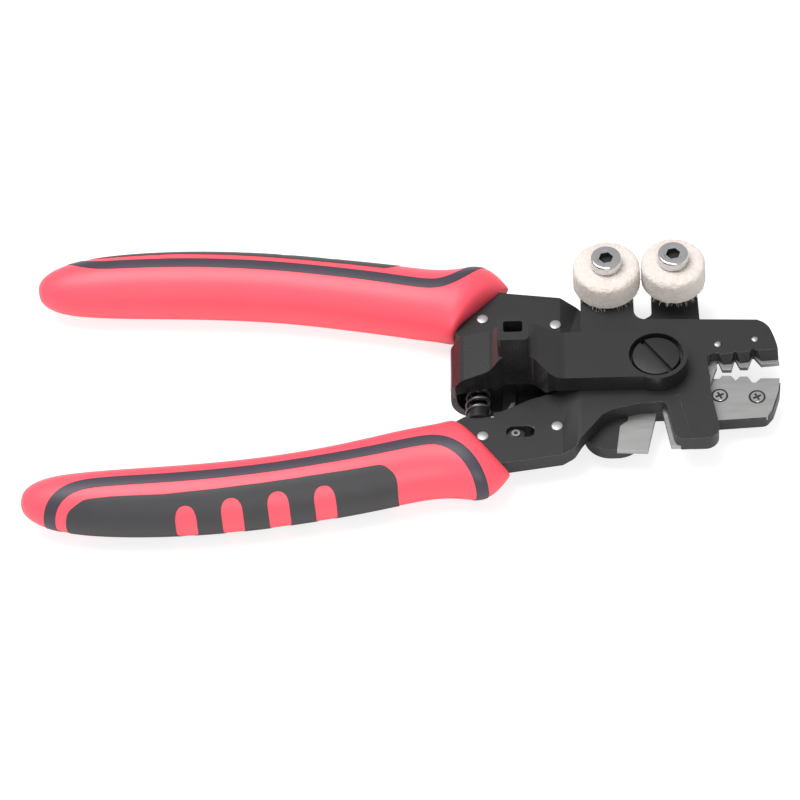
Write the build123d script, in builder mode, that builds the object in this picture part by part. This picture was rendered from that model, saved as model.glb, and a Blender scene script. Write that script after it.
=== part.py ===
from build123d import *
from math import atan2, cos, degrees, radians, sin, sqrt
import os

# Fibre stripper: two pivoted levers with stripping jaws, a side cutter and a pair of felt cleaning wheels.
# Origin on the pivot axis, in the plane that the tool rests on. +X towards the jaws, +Y towards the wheels.

os.makedirs("parts", exist_ok=True)

# Levels
parting_z = 7.5
front_thickness = 4.0
back_thickness = 3.2
shank_thickness = 4.0
parting_clearance = 0.04
overrun = 30.0

# Reaches of the two levers from the pivot axis
jaw_reach = 28.4
head_rise = 14.6
shank_reach = 46.0
shank_spread = 25.4
joggle_start = 17.5
joggle_end = 22.0
edge_break = 0.3

# Fits
fit_clearance = 0.05
running_clearance = 0.06
rolling_clearance = 0.3

# Blades
blade_thickness = 1.2
jaw_bevel_run = 1.0
jaw_bevel_drop = 2.7

# Pivot
pivot_head_radius = 5.5
pivot_head_height = 2.2
pivot_head_recess = 0.5
pivot_shank_radius = 3.0
pivot_slot_width = 0.9
pivot_slot_depth = 0.8
pivot_slot_turn = -54.7
nut_across_flats = 11.0
nut_height = 2.0

# Felt wheels
left_wheel_x = -10.9
left_wheel_y = 25.3
right_wheel_x = 4.7
right_wheel_y = 26.0
wheel_radius = 7.7
wheel_height = 6.4
wheel_edge_radius = 1.2
wheel_bore_radius = 2.65
bush_wall = 0.55
wheel_stand = 0.25
front_ear_half = 5.9
back_ear_half = 5.3
wheel_screw_radius = 2.0
wheel_head_radius = 3.6
wheel_head_height = 2.5
wheel_head_edge = 0.5
wheel_socket_flats = 3.0
wheel_socket_depth = 1.5
spacer_radius = 3.0

# Small screws of the jaw blades
jaw_screw_radius = 0.85
jaw_screw_head_radius = 1.9
jaw_screw_head_height = 0.9
jaw_screw_cross_length = 2.0
jaw_screw_cross_width = 0.5
jaw_screw_cross_depth = 0.6

# Rivets of the shanks
rivet_radius = 1.25
rivet_stand = 0.15
rivet_dome = 0.12

# Grips
grip_reach = 145.6
grip_spread = 32.6
grip_half_width = 8.45
grip_half_height = 8.0
grip_skin = 1.3
tang_clearance = 0.05
stripe_width = 2.3
bar_width = 4.1
bar_pitch = 10.4
bar_count = 4
bar_first = -106.6
bar_start_share = 0.62
bar_corner = 1.8

# Spring cover, a clip that is bent round the spring and both levers
cover_top = 16.1
cover_reach = 47.4
cover_width = 7.0
cover_boss_radius = 7.3
cover_head_room = 6.25
cover_edge = 0.5
cover_leg_half_width = 6.0
cover_bottom_leg = 1.8
cover_skirt = 9.75
cover_wall_top = 11.9
cover_gap = 0.15
spring_channel = 4.3
post_x = -32.55
post_y = 0.6
post_length = 7.3
post_width = 6.2
post_top = 25.5
post_corner = 1.2
post_edge = 0.4
post_hole_length = 4.4
post_hole_width = 3.2
post_hole_depth = 5.0

# Return spring and its seats
spring_x = -40.6
spring_mean_radius = 3.5
spring_wire_radius = 0.5
spring_turns = 10
seat_flange_radius = 3.6
seat_flange_height = 1.0
seat_peg_radius = 2.5
seat_peg_length = 3.0
seat_stem_radius = 1.2
seat_stem_length = 3.0
spring_half_length = 11.0

# Handle lock
slot_left = -34.75
slot_right = -28.2
slot_y = -16.4
slot_width = 3.2
slider_length = 4.2
slider_clearance = 0.1
slider_recess = 0.9
lock_pin_radius = 1.0
lock_pin_bore = 0.45
lock_pin_stand = 0.45
hook_thickness = 0.8
hook_gap = 0.25
lock_pin_depth = 1.6
hook_left = -35.6
hook_width = 3.0
hook_end = 8.5
hook_tip_right = -30.6
hook_tip_height = 2.0
catch_x = -27.0
catch_y = 12.0
catch_radius = 1.1

front_bottom = parting_z + parting_clearance / 2
front_top = parting_z + front_thickness
back_top = parting_z - parting_clearance / 2
back_bottom = parting_z - back_thickness
shank_bottom = parting_z - shank_thickness / 2
shank_top = parting_z + shank_thickness / 2
grip_mid_z = grip_half_height
wheel_bottom = front_top + wheel_stand
nut_top = nut_height
cover_bottom = front_top + cover_gap
leg_top = back_bottom - cover_gap
leg_bottom = leg_top - cover_bottom_leg

# Corners as shares: along the reach, across the head or the shank, and the rounding along the reach
front_jaw_shares = [
    (0.996, 0.226, 0.01), (0.859, 0.212, 0.0), (0.789, 0.329, 0.01), (0.746, 0.202, 0.0),
    (0.681, 0.185, 0.0), (0.641, 0.281, 0.01), (0.609, 0.171, 0.0), (0.542, 0.164, 0.0),
    (0.507, 0.247, 0.0), (0.437, 0.24, 0.018), (0.43, -0.48, 0.035), (0.482, -1.13, 0.07),
    (0.49, -1.466, 0.112), (0.134, -1.466, 0.02), (0.065, -0.705, 0.05), (-0.14, -0.726, 0.07),
    (-0.352, -0.829, 0.053), (-0.444, -0.932, 0.1), (-0.599, -1.33, 0.1), (-0.676, -1.548, 0.07),
]
back_jaw_shares = [
    (0.423, 0.274, 0.1), (0.458, -0.164, 0.0), (1.002, -0.164, 0.014), (0.993, -0.33, 0.1),
    (0.933, -0.726, 0.088), (0.873, -0.877, 0.07), (0.475, -0.918, 0.07), (-0.116, -0.85, 0.028),
    (-0.13, -1.432, 0.21), (-0.599, -1.432, 0.22), (-0.606, 0.205, 0.0),
]
front_brow_shares = [(0.901, 0.911, 0.056), (0.979, 0.562, 0.17)]
shank_shares = [
    (-0.474, 0.921, 0.08), (-0.739, 0.992, 0.06), (-1.087, 1.126, 0.17), (-1.52, 1.244, 0.4),
    (-2.26, 1.394, 0.03), (-2.26, 1.15, 0.03), (-1.52, 0.941, 0.4), (-1.087, 0.654, 0.17),
    (-1.004, 0.508, 0.017), (-0.965, 0.461, 0.02), (-0.783, 0.413, 0.08), (-0.63, 0.276, 0.08),
]
upper_tooth_shares = [
    (1.0, 0.171), (0.854, 0.147), (0.789, 0.34), (0.743, 0.094), (0.68, 0.098),
    (0.641, 0.293), (0.609, 0.055), (0.535, 0.059), (0.507, 0.25), (0.493, 0.22),
    (0.493, -0.466), (0.4, -0.466), (0.4, 0.76), (0.9, 0.76), (0.973, 0.5),
]
lower_tooth_shares = [
    (0.996, -0.075), (0.845, -0.064), (0.802, -0.149), (0.772, -0.147), (0.739, -0.022),
    (0.677, -0.018), (0.641, -0.1), (0.605, 0.004), (0.532, 0.009), (0.511, -0.05),
    (0.41, -0.05), (0.41, -0.897), (0.88, -0.856), (0.92, -0.73), (0.984, -0.33),
]
cutter_shares = [
    (-0.005, -0.676), (-0.089, -1.474), (-0.337, -1.438), (-0.308, -0.95), (-0.243, -0.85),
    (-0.225, -0.48), (0.01, -0.48),
]
anvil_shares = [(0.026, -0.61), (0.1, -1.455), (0.39, -1.455), (0.39, -0.9), (0.2, -0.61)]
upper_jaw_screw_shares = [(0.507, 0.43), (0.807, 0.506)]
lower_jaw_screw_shares = [(0.506, -0.394), (0.807, -0.443)]
cutter_screw_share = (-0.116, -0.66)
anvil_screw_share = (0.29, -1.1)
rivet_shares = [(-0.872, 0.689), (-0.502, 0.596)]
jaw_bevel_shares = [(0.41, 0.205), (1.05, 0.31)]
tab_bevel_shares = [(0.175, -1.55), (0.066, -0.63)]

# The grip's run: places along the reach, the centre line's share of the spread, the width and height shares
grip_station_shares = [
    (0.9985, 0.963, 0.12, 0.12), (0.993, 0.966, 0.34, 0.34), (0.975, 0.975, 0.58, 0.57),
    (0.948, 0.985, 0.75, 0.74), (0.907, 0.997, 0.87, 0.87), (0.85, 1.003, 0.95, 0.95),
    (0.77, 1.0, 1.0, 0.985), (0.687, 0.98, 1.01, 1.0), (0.563, 0.911, 1.01, 1.0),
    (0.412, 0.776, 1.04, 1.0), (0.302, 0.672, 1.07, 1.0), (0.22, 0.592, 1.07, 1.0),
]
grip_mouth_shares = [
    (-1.05, 0.1, 0.0), (-1.05, 1.4, 0.0), (-0.302, 1.4, 0.0), (-0.256, 0.929, 0.02),
    (-0.2335, 0.83, 0.012), (-0.325, 0.405, 0.015), (-0.343, 0.1, 0.0),
]
pad_shares = [
    (-0.929, 1.45, 0.0), (-0.929, 1.2, 0.005), (-0.918, 1.16, 0.01), (-0.893, 1.095, 0.03),
    (-0.852, 1.086, 0.1), (-0.769, 1.089, 0.1), (-0.687, 1.069, 0.1), (-0.618, 1.037, 0.1),
    (-0.563, 1.0, 0.1), (-0.488, 0.94, 0.1), (-0.449, 0.905, 0.006), (-0.424, 0.945, 0.01),
    (-0.413, 1.0, 0.01), (-0.406, 1.06, 0.01), (-0.406, 1.45, 0.0),
]
stripe_shares = [
    (-0.952, 1.4, 0.0), (-0.952, 1.1, 0.012), (-0.938, 1.0, 0.014), (-0.907, 0.997, 0.05),
    (-0.85, 1.003, 0.1), (-0.77, 1.0, 0.1), (-0.687, 0.98, 0.1), (-0.563, 0.911, 0.1),
    (-0.412, 0.776, 0.06), (-0.345, 0.68, 0.025), (-0.29, 0.87, 0.04), (-0.265, 1.3, 0.0),
]
cover_plan_shares = [
    (0.0, -0.93, 0.0), (-0.47, -0.93, 0.03), (-0.53, -0.87, 0.02), (-0.575, -0.55, 0.02),
    (-0.61, -0.37, 0.01), (-0.735, -0.37, 0.01), (-0.79, -0.5, 0.02), (-0.83, -0.7, 0.02),
    (-0.93, -0.86, 0.02), (-0.975, -0.93, 0.01), (-1.0, -0.86, 0.01), (-1.0, 0.86, 0.01),
    (-0.955, 1.03, 0.01), (0.0, 1.03, 0.0),
]
cover_crown_shares = [
    (-0.464, 1.0), (-0.52, 1.055), (-0.563, 1.137), (-0.612, 1.211), (-0.738, 1.211),
    (-0.78, 1.149), (-0.814, 1.093), (-0.844, 1.056), (-0.882, 1.012), (-0.928, 0.957),
    (-0.97, 0.87), (-0.994, 0.758),
]
cover_bend_shares = [
    (-1.0, 0.62), (-1.0, 0.4), (-0.983, 0.25), (-0.945, 0.165),
]
cover_inside_shares = [(-0.915, 0.258), (-0.947, 0.292), (-0.962, 0.4), (-0.962, 0.7), (-0.95, 0.739)]


def corner_list(table, along, across, side=1):
    """Corners as x, y and rounding, worked out from a table of shares."""
    return [(x * along, side * y * across, r * along) for x, y, r in table]


def plan_face(corner_points):
    """A closed outline with a rounding of its own at each corner."""
    with BuildSketch() as face:
        with BuildLine():
            FilletPolyline(
                *[(x, y) for x, y, _ in corner_points],
                radius=[r for _, _, r in corner_points],
                close=True,
            )
        make_face()
    return face.sketch


def plain_face(table, along, across, side=1, grow=0.0):
    """A closed outline with sharp corners, grown by a clearance where a pocket needs it."""
    with BuildSketch() as face:
        with BuildLine():
            Polyline(*[(x * along, side * y * across) for x, y in table], close=True)
        make_face()
        if grow:
            offset(amount=grow, kind=Kind.INTERSECTION)
    return face.sketch


def places(table, along, across, z=0.0, side=1):
    return [(x * along, side * y * across, z) for x, y in table]


def bevel_wedge(shares, run, drop, reach):
    """What is cut away above a sloping edge that starts along a line on the front face."""
    (x0, y0), (x1, y1) = [(x * jaw_reach, y * head_rise) for x, y in shares]
    turn = atan2(y1 - y0, x1 - x0)
    start = Plane(
        origin=(x0, y0, front_top), x_dir=(sin(turn), -cos(turn), 0), z_dir=(cos(turn), sin(turn), 0)
    )
    with BuildPart() as wedge:
        with BuildSketch(start):
            with BuildLine():
                Polyline((0, 0), (reach, 0), (reach, reach * drop / run), close=True)
            make_face()
        extrude(amount=sqrt((x1 - x0) ** 2 + (y1 - y0) ** 2))
    return wedge.part


def side_band(head_bottom, head_top):
    """The lever seen from its edge: head, joggle and shank, as one band across the whole width."""
    with BuildSketch(Plane.XZ) as band:
        with BuildLine():
            Polyline(
                (overrun * 2, head_bottom),
                (overrun * 2, head_top),
                (-joggle_start, head_top),
                (-joggle_end, shank_top),
                (-overrun * 5, shank_top),
                (-overrun * 5, shank_bottom),
                (-joggle_end, shank_bottom),
                (-joggle_start, head_bottom),
                close=True,
            )
        make_face()
    return extrude(band.sketch, overrun * 2, both=True)


def finish(piece, name):
    piece.part.label = name
    export_step(piece.part, f"parts/{name}.step")


# Lever with the front jaw, the cutter's tab and the left ear
front_corners = (
    corner_list(front_jaw_shares, jaw_reach, head_rise)
    + corner_list(shank_shares, shank_reach, shank_spread, -1)
    + [
        (-joggle_start + edge_break, -shank_spread * 0.12, 0.0),
        (left_wheel_x - front_ear_half - edge_break, left_wheel_y + front_ear_half, front_ear_half),
        (left_wheel_x + front_ear_half, left_wheel_y + front_ear_half, front_ear_half * 0.98),
        (left_wheel_x + front_ear_half + edge_break, head_rise, head_rise * 0.18),
    ]
    + corner_list(front_brow_shares, jaw_reach, head_rise)
)
back_corners = (
    corner_list(back_jaw_shares, jaw_reach, head_rise)
    + corner_list(shank_shares, shank_reach, shank_spread)[::-1]
    + [
        (-joggle_start + edge_break, shank_spread * 0.84, head_rise * 0.2),
        (-joggle_start + edge_break * 6, head_rise * 1.16, head_rise * 0.1),
        (right_wheel_x - back_ear_half * 1.83, head_rise * 1.11, head_rise * 0.15),
        (right_wheel_x - back_ear_half, head_rise * 1.3, head_rise * 0.1),
        (right_wheel_x - back_ear_half, right_wheel_y + back_ear_half, back_ear_half * 0.98),
        (right_wheel_x + back_ear_half, right_wheel_y + back_ear_half, back_ear_half * 0.98),
        (right_wheel_x + back_ear_half * 1.11, head_rise * 1.1, head_rise * 0.14),
    ]
)
front_outline = plan_face(front_corners)
back_outline = plan_face(back_corners)
front_band = side_band(front_bottom, front_top)
back_band = side_band(back_bottom, back_top)
jaw_bevel = bevel_wedge(jaw_bevel_shares, jaw_bevel_run, jaw_bevel_drop, head_rise * 0.4)
tab_bevel = bevel_wedge(tab_bevel_shares, jaw_bevel_run, jaw_bevel_drop, head_rise * 0.2)
upper_blade = plain_face(upper_tooth_shares, jaw_reach, head_rise)
lower_blade = plain_face(lower_tooth_shares, jaw_reach, head_rise)
cutter_face = plain_face(cutter_shares, jaw_reach, head_rise)
anvil_face = plain_face(anvil_shares, jaw_reach, head_rise)
upper_pocket = plain_face(upper_tooth_shares, jaw_reach, head_rise, grow=fit_clearance)
lower_pocket = plain_face(lower_tooth_shares, jaw_reach, head_rise, grow=fit_clearance)
cutter_pocket = plain_face(cutter_shares, jaw_reach, head_rise, grow=fit_clearance)
anvil_pocket = plain_face(anvil_shares, jaw_reach, head_rise, grow=fit_clearance)

upper_screw_places = places(upper_jaw_screw_shares, jaw_reach, head_rise, parting_z)
lower_screw_places = places(lower_jaw_screw_shares, jaw_reach, head_rise, parting_z)
cutter_screw_place = (cutter_screw_share[0] * jaw_reach, cutter_screw_share[1] * head_rise, parting_z)
anvil_screw_place = (anvil_screw_share[0] * jaw_reach, anvil_screw_share[1] * head_rise, parting_z)
blade_screw_reach = front_thickness * 0.7
slot_middle = (slot_left + slot_right) / 2
slot_length = slot_right - slot_left

with BuildPart() as front_plate:
    with BuildSketch(Plane.XY.offset(shank_bottom)):
        add(front_outline)
    extrude(amount=front_top - shank_bottom)
    add(front_band, mode=Mode.INTERSECT)
    add(jaw_bevel, mode=Mode.SUBTRACT)
    add(tab_bevel, mode=Mode.SUBTRACT)
    with BuildSketch(Plane.XY.offset(parting_z)):
        add(upper_pocket)
        add(anvil_pocket)
    extrude(amount=blade_thickness + fit_clearance, mode=Mode.SUBTRACT)
    with BuildSketch(Plane.XY):
        Circle(pivot_shank_radius + running_clearance)
        with Locations(*[(x, y) for x, y, _ in upper_screw_places]):
            Circle(jaw_screw_radius + fit_clearance)
        with Locations(*places(rivet_shares, shank_reach, shank_spread, side=-1)):
            Circle(rivet_radius + fit_clearance)
        with Locations((left_wheel_x, left_wheel_y)):
            Circle(wheel_screw_radius + fit_clearance)
        with Locations((slot_middle, slot_y)):
            Rectangle(slot_length, slot_width)
    extrude(amount=overrun, mode=Mode.SUBTRACT)
    with BuildSketch(Plane.XY.offset(parting_z)):
        with Locations(anvil_screw_place[:2]):
            Circle(jaw_screw_radius + fit_clearance)
    extrude(amount=blade_screw_reach, mode=Mode.SUBTRACT)
    with BuildSketch(Plane.XZ):
        with Locations((spring_x, parting_z)):
            Circle(seat_flange_radius + fit_clearance)
    extrude(amount=spring_half_length + seat_flange_height, mode=Mode.SUBTRACT)
    with BuildSketch(Plane.XZ):
        with Locations((spring_x, parting_z)):
            Circle(seat_stem_radius + fit_clearance)
    extrude(amount=spring_half_length + seat_flange_height + seat_stem_length, mode=Mode.SUBTRACT)
finish(front_plate, "front_plate")

with BuildPart() as back_plate:
    with BuildSketch(Plane.XY.offset(back_bottom)):
        add(back_outline)
    extrude(amount=shank_top - back_bottom)
    add(back_band, mode=Mode.INTERSECT)
    with BuildSketch(Plane.XY.offset(parting_z)):
        add(lower_pocket)
        add(cutter_pocket)
    extrude(amount=-blade_thickness - fit_clearance, mode=Mode.SUBTRACT)
    with BuildSketch(Plane.XY):
        Circle(pivot_shank_radius + running_clearance)
        with Locations(*[(x, y) for x, y, _ in lower_screw_places]):
            Circle(jaw_screw_radius + fit_clearance)
        with Locations(*places(rivet_shares, shank_reach, shank_spread)):
            Circle(rivet_radius + fit_clearance)
        with Locations((right_wheel_x, right_wheel_y)):
            Circle(wheel_screw_radius + fit_clearance)
    extrude(amount=overrun, mode=Mode.SUBTRACT)
    with BuildSketch(Plane.XY.offset(parting_z)):
        with Locations(cutter_screw_place[:2]):
            Circle(jaw_screw_radius + fit_clearance)
    extrude(amount=-blade_screw_reach, mode=Mode.SUBTRACT)
    with BuildSketch(Plane.XY.offset(shank_bottom)):
        with Locations((catch_x, catch_y)):
            Circle(catch_radius + fit_clearance)
    extrude(amount=shank_thickness / 2, mode=Mode.SUBTRACT)
    with BuildSketch(Plane.XZ):
        with Locations((spring_x, parting_z)):
            Circle(seat_flange_radius + fit_clearance)
    extrude(amount=-spring_half_length - seat_flange_height, mode=Mode.SUBTRACT)
    with BuildSketch(Plane.XZ):
        with Locations((spring_x, parting_z)):
            Circle(seat_stem_radius + fit_clearance)
    extrude(amount=-spring_half_length - seat_flange_height - seat_stem_length, mode=Mode.SUBTRACT)
finish(back_plate, "back_plate")


def turned(profile_points):
    """A turned piece, from half of its outline as radius and height."""
    with BuildPart() as piece:
        with BuildSketch(Plane.XZ):
            with BuildLine():
                Polyline(*profile_points, close=True)
            make_face()
        revolve(axis=Axis.Z)
    return piece.part


def countersunk(length, side=1, grow=0.0):
    """A countersunk screw with its head's face at zero, going up for side 1 and down for side -1."""
    return turned([
        (0, 0),
        (jaw_screw_head_radius + grow, 0),
        (jaw_screw_radius + grow, side * jaw_screw_head_height),
        (jaw_screw_radius + grow, side * length),
        (0, side * length),
    ])


def blade_part(face, bottom, screw_places, screw):
    """A hardened blade with countersunk holes."""
    with BuildPart() as blade:
        with BuildSketch(Plane.XY.offset(bottom)):
            add(face)
        extrude(amount=blade_thickness - parting_clearance)
        with Locations(*screw_places):
            add(screw, mode=Mode.SUBTRACT)
    return blade


front_blade_bottom = parting_z + parting_clearance
back_blade_top = parting_z - parting_clearance
back_blade_bottom = back_blade_top - blade_thickness + parting_clearance
through_front = front_top - front_blade_bottom
through_back = back_blade_top - back_bottom

upper_heads = [(x, y, front_blade_bottom) for x, y, _ in upper_screw_places]
lower_heads = [(x, y, back_blade_top) for x, y, _ in lower_screw_places]
cutter_head = [(cutter_screw_place[0], cutter_screw_place[1], back_blade_top)]
anvil_head = [(anvil_screw_place[0], anvil_screw_place[1], front_blade_bottom)]
hole_up = countersunk(overrun, 1, fit_clearance)
hole_down = countersunk(overrun, -1, fit_clearance)

upper_jaw_blade = blade_part(upper_blade, front_blade_bottom, upper_heads, hole_up)
finish(upper_jaw_blade, "upper_jaw_blade")
lower_jaw_blade = blade_part(lower_blade, back_blade_bottom, lower_heads, hole_down)
finish(lower_jaw_blade, "lower_jaw_blade")
cutter_blade = blade_part(cutter_face, back_blade_bottom, cutter_head, hole_down)
finish(cutter_blade, "cutter_blade")
anvil_blade = blade_part(anvil_face, front_blade_bottom, anvil_head, hole_up)
finish(anvil_blade, "anvil_blade")

upper_screw = countersunk(through_front, 1)
lower_screw = countersunk(through_back, -1)
short_up = countersunk(blade_screw_reach - parting_clearance, 1)
short_down = countersunk(blade_screw_reach - parting_clearance, -1)

with BuildPart() as upper_jaw_screws:
    with Locations(*upper_heads):
        add(upper_screw)
finish(upper_jaw_screws, "upper_jaw_screws")

with BuildPart() as lower_jaw_screws:
    with Locations(*lower_heads):
        add(lower_screw)
    with BuildSketch(Plane.XY.offset(back_blade_top)):
        with Locations(*[(x, y) for x, y, _ in lower_heads]):
            Rectangle(jaw_screw_cross_length, jaw_screw_cross_width)
            Rectangle(jaw_screw_cross_width, jaw_screw_cross_length)
    extrude(amount=-jaw_screw_cross_depth, mode=Mode.SUBTRACT)
finish(lower_jaw_screws, "lower_jaw_screws")

with BuildPart() as cutter_blade_screw:
    with Locations(*cutter_head):
        add(short_down)
finish(cutter_blade_screw, "cutter_blade_screw")

with BuildPart() as anvil_blade_screw:
    with Locations(*anvil_head):
        add(short_up)
finish(anvil_blade_screw, "anvil_blade_screw")

# Rivets that end in both shanks
rivet_top = shank_top + rivet_stand
rivet = turned([
    (0, shank_bottom),
    (rivet_radius, shank_bottom),
    (rivet_radius, rivet_top),
    (rivet_radius - rivet_dome * 2, rivet_top + rivet_dome),
    (0, rivet_top + rivet_dome),
])
with BuildPart() as upper_shank_rivets:
    with Locations(*places(rivet_shares, shank_reach, shank_spread)):
        add(rivet)
finish(upper_shank_rivets, "upper_shank_rivets")
with BuildPart() as lower_shank_rivets:
    with Locations(*places(rivet_shares, shank_reach, shank_spread, side=-1)):
        add(rivet)
finish(lower_shank_rivets, "lower_shank_rivets")

# Pivot screw with its slotted head, nut and the washer under the rear leg
head_top = cover_top - pivot_head_recess
head_bottom = head_top - pivot_head_height
with BuildPart() as pivot_screw:
    add(turned([
        (0, 0),
        (pivot_shank_radius, 0),
        (pivot_shank_radius, head_bottom),
        (pivot_head_radius, head_bottom),
        (pivot_head_radius, head_top - edge_break),
        (pivot_head_radius - edge_break, head_top),
        (0, head_top),
    ]))
    with BuildSketch(Plane.XY.offset(head_top)):
        Rectangle(overrun, pivot_slot_width, rotation=pivot_slot_turn)
    extrude(amount=-pivot_slot_depth, mode=Mode.SUBTRACT)
finish(pivot_screw, "pivot_screw")

with BuildPart() as pivot_nut:
    with BuildSketch():
        RegularPolygon(nut_across_flats / 2, 6, major_radius=False)
        Circle(pivot_shank_radius + fit_clearance, mode=Mode.SUBTRACT)
    extrude(amount=nut_height)
finish(pivot_nut, "pivot_nut")

# Felt cleaning wheels, each on a bush and a socket screw
wheel_top = wheel_bottom + wheel_height
bush_bottom = front_top + fit_clearance
bush_top = wheel_top + wheel_stand - fit_clearance
bush_inner = wheel_screw_radius + running_clearance
bush_outer = bush_inner + bush_wall
socket_head_bottom = wheel_top + wheel_stand
socket_head_top = socket_head_bottom + wheel_head_height


def wheel_screw_part(foot, x, y):
    """Socket screw that holds one wheel, from the lever's far face to the head."""
    with BuildPart() as screw:
        with Locations((x, y)):
            add(turned([
                (0, foot),
                (wheel_screw_radius, foot),
                (wheel_screw_radius, socket_head_bottom),
                (wheel_head_radius, socket_head_bottom),
                (wheel_head_radius, socket_head_top - wheel_head_edge),
                (wheel_head_radius - wheel_head_edge, socket_head_top),
                (0, socket_head_top),
            ]))
        with BuildSketch(Plane.XY.offset(socket_head_top)):
            with Locations((x, y)):
                RegularPolygon(wheel_socket_flats / 2, 6, major_radius=False)
        extrude(amount=-wheel_socket_depth, mode=Mode.SUBTRACT)
    return screw


def ring_part(inner, outer, bottom, top, x, y):
    """A plain sleeve round a wheel's screw."""
    with BuildPart() as ring:
        with BuildSketch(Plane.XY.offset(bottom)):
            with Locations((x, y)):
                Circle(outer)
                Circle(inner, mode=Mode.SUBTRACT)
        extrude(amount=top - bottom)
    return ring


def felt_part(x, y):
    """A felt wheel with soft outer edges."""
    with BuildPart() as felt:
        with BuildSketch(Plane.XY.offset(wheel_bottom)):
            with Locations((x, y)):
                Circle(wheel_radius)
                Circle(wheel_bore_radius + fit_clearance, mode=Mode.SUBTRACT)
        extrude(amount=wheel_height)
        rims = felt.edges().filter_by(GeomType.CIRCLE).sort_by(SortBy.RADIUS)[-2:]
        fillet(rims, radius=wheel_edge_radius)
    return felt


left_wheel_screw = wheel_screw_part(front_bottom, left_wheel_x, left_wheel_y)
finish(left_wheel_screw, "left_wheel_screw")
right_wheel_screw = wheel_screw_part(back_bottom, right_wheel_x, right_wheel_y)
finish(right_wheel_screw, "right_wheel_screw")
left_wheel_bush = ring_part(bush_inner, bush_outer, bush_bottom, bush_top, left_wheel_x, left_wheel_y)
finish(left_wheel_bush, "left_wheel_bush")
right_wheel_bush = ring_part(bush_inner, bush_outer, bush_bottom, bush_top, right_wheel_x, right_wheel_y)
finish(right_wheel_bush, "right_wheel_bush")
right_wheel_post = ring_part(
    wheel_screw_radius + fit_clearance, spacer_radius, back_top, front_top, right_wheel_x, right_wheel_y
)
finish(right_wheel_post, "right_wheel_post")
left_felt_wheel = felt_part(left_wheel_x, left_wheel_y)
finish(left_felt_wheel, "left_felt_wheel")
right_felt_wheel = felt_part(right_wheel_x, right_wheel_y)
finish(right_felt_wheel, "right_felt_wheel")

# Return spring across the handles and the seat on each lever
coil_height = spring_half_length * 2 - spring_wire_radius * 2 - fit_clearance * 2
with BuildPart() as return_spring:
    with BuildLine() as coil:
        Helix(
            coil_height / spring_turns,
            coil_height,
            spring_mean_radius,
            center=(spring_x, -coil_height / 2, parting_z),
            direction=(0, 1, 0),
        )
    with BuildSketch(Plane(origin=coil.line @ 0, z_dir=coil.line % 0)):
        Circle(spring_wire_radius)
    sweep()
finish(return_spring, "return_spring")


def seat_part(side):
    """Flange, peg and stem that hold one end of the spring on a shank's inner edge."""
    with BuildPart() as seat:
        with BuildSketch(Plane.XZ.offset(-side * spring_half_length)):
            with Locations((spring_x, parting_z)):
                Circle(seat_flange_radius)
        extrude(amount=-side * seat_flange_height)
        with BuildSketch(Plane.XZ.offset(-side * spring_half_length)):
            with Locations((spring_x, parting_z)):
                Circle(seat_peg_radius)
        extrude(amount=side * seat_peg_length)
        with BuildSketch(Plane.XZ.offset(-side * (spring_half_length + seat_flange_height))):
            with Locations((spring_x, parting_z)):
                Circle(seat_stem_radius)
        extrude(amount=-side * seat_stem_length)
    return seat


upper_spring_seat = seat_part(1)
finish(upper_spring_seat, "upper_spring_seat")
lower_spring_seat = seat_part(-1)
finish(lower_spring_seat, "lower_spring_seat")

# Lock: a slider in the front shank's slot, with a hook behind the shanks and a catch on the other lever
slider_x = slot_left + slider_clearance + slider_length / 2
hook_top = shank_bottom - hook_gap
hook_bottom = hook_top - hook_thickness
slider_top = shank_top - slider_recess
slider_width = slot_width - slider_clearance
with BuildPart() as lock_slider_block:
    with BuildSketch(Plane.XY.offset(hook_top)):
        with Locations((slider_x, slot_y)):
            Rectangle(slider_length, slider_width)
    extrude(amount=slider_top - hook_top)
    with BuildSketch(Plane.XY.offset(slider_top)):
        with Locations((slider_x, slot_y)):
            Circle(lock_pin_radius + fit_clearance)
    extrude(amount=-lock_pin_depth, mode=Mode.SUBTRACT)
finish(lock_slider_block, "lock_slider_block")

with BuildPart() as lock_pin:
    with BuildSketch(Plane.XY.offset(slider_top - lock_pin_depth)):
        with Locations((slider_x, slot_y)):
            Circle(lock_pin_radius)
    extrude(amount=lock_pin_depth + lock_pin_stand)
    with BuildSketch(Plane.XY.offset(slider_top + lock_pin_stand)):
        with Locations((slider_x, slot_y)):
            Circle(lock_pin_bore)
    extrude(amount=-lock_pin_stand * 2, mode=Mode.SUBTRACT)
finish(lock_pin, "lock_pin")

hook_right = hook_left + hook_width
hook_foot = slot_y - slider_width / 2
with BuildPart() as lock_hook:
    with BuildSketch(Plane.XY.offset(hook_bottom)):
        with BuildLine():
            Polyline(
                (hook_left, hook_foot),
                (slider_x + slider_length / 2, hook_foot),
                (slider_x + slider_length / 2, slot_y + slider_width / 2),
                (hook_right, slot_y + slider_width / 2),
                (hook_right, hook_end - hook_tip_height),
                (hook_tip_right, hook_end - hook_tip_height),
                (hook_tip_right, hook_end),
                (hook_left, hook_end),
                close=True,
            )
        make_face()
    extrude(amount=hook_thickness)
finish(lock_hook, "lock_hook")

with BuildPart() as lock_catch_pin:
    with BuildSketch(Plane.XY.offset(hook_bottom)):
        with Locations((catch_x, catch_y)):
            Circle(catch_radius)
    extrude(amount=shank_bottom + shank_thickness / 2 - hook_bottom)
finish(lock_catch_pin, "lock_catch_pin")

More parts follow.
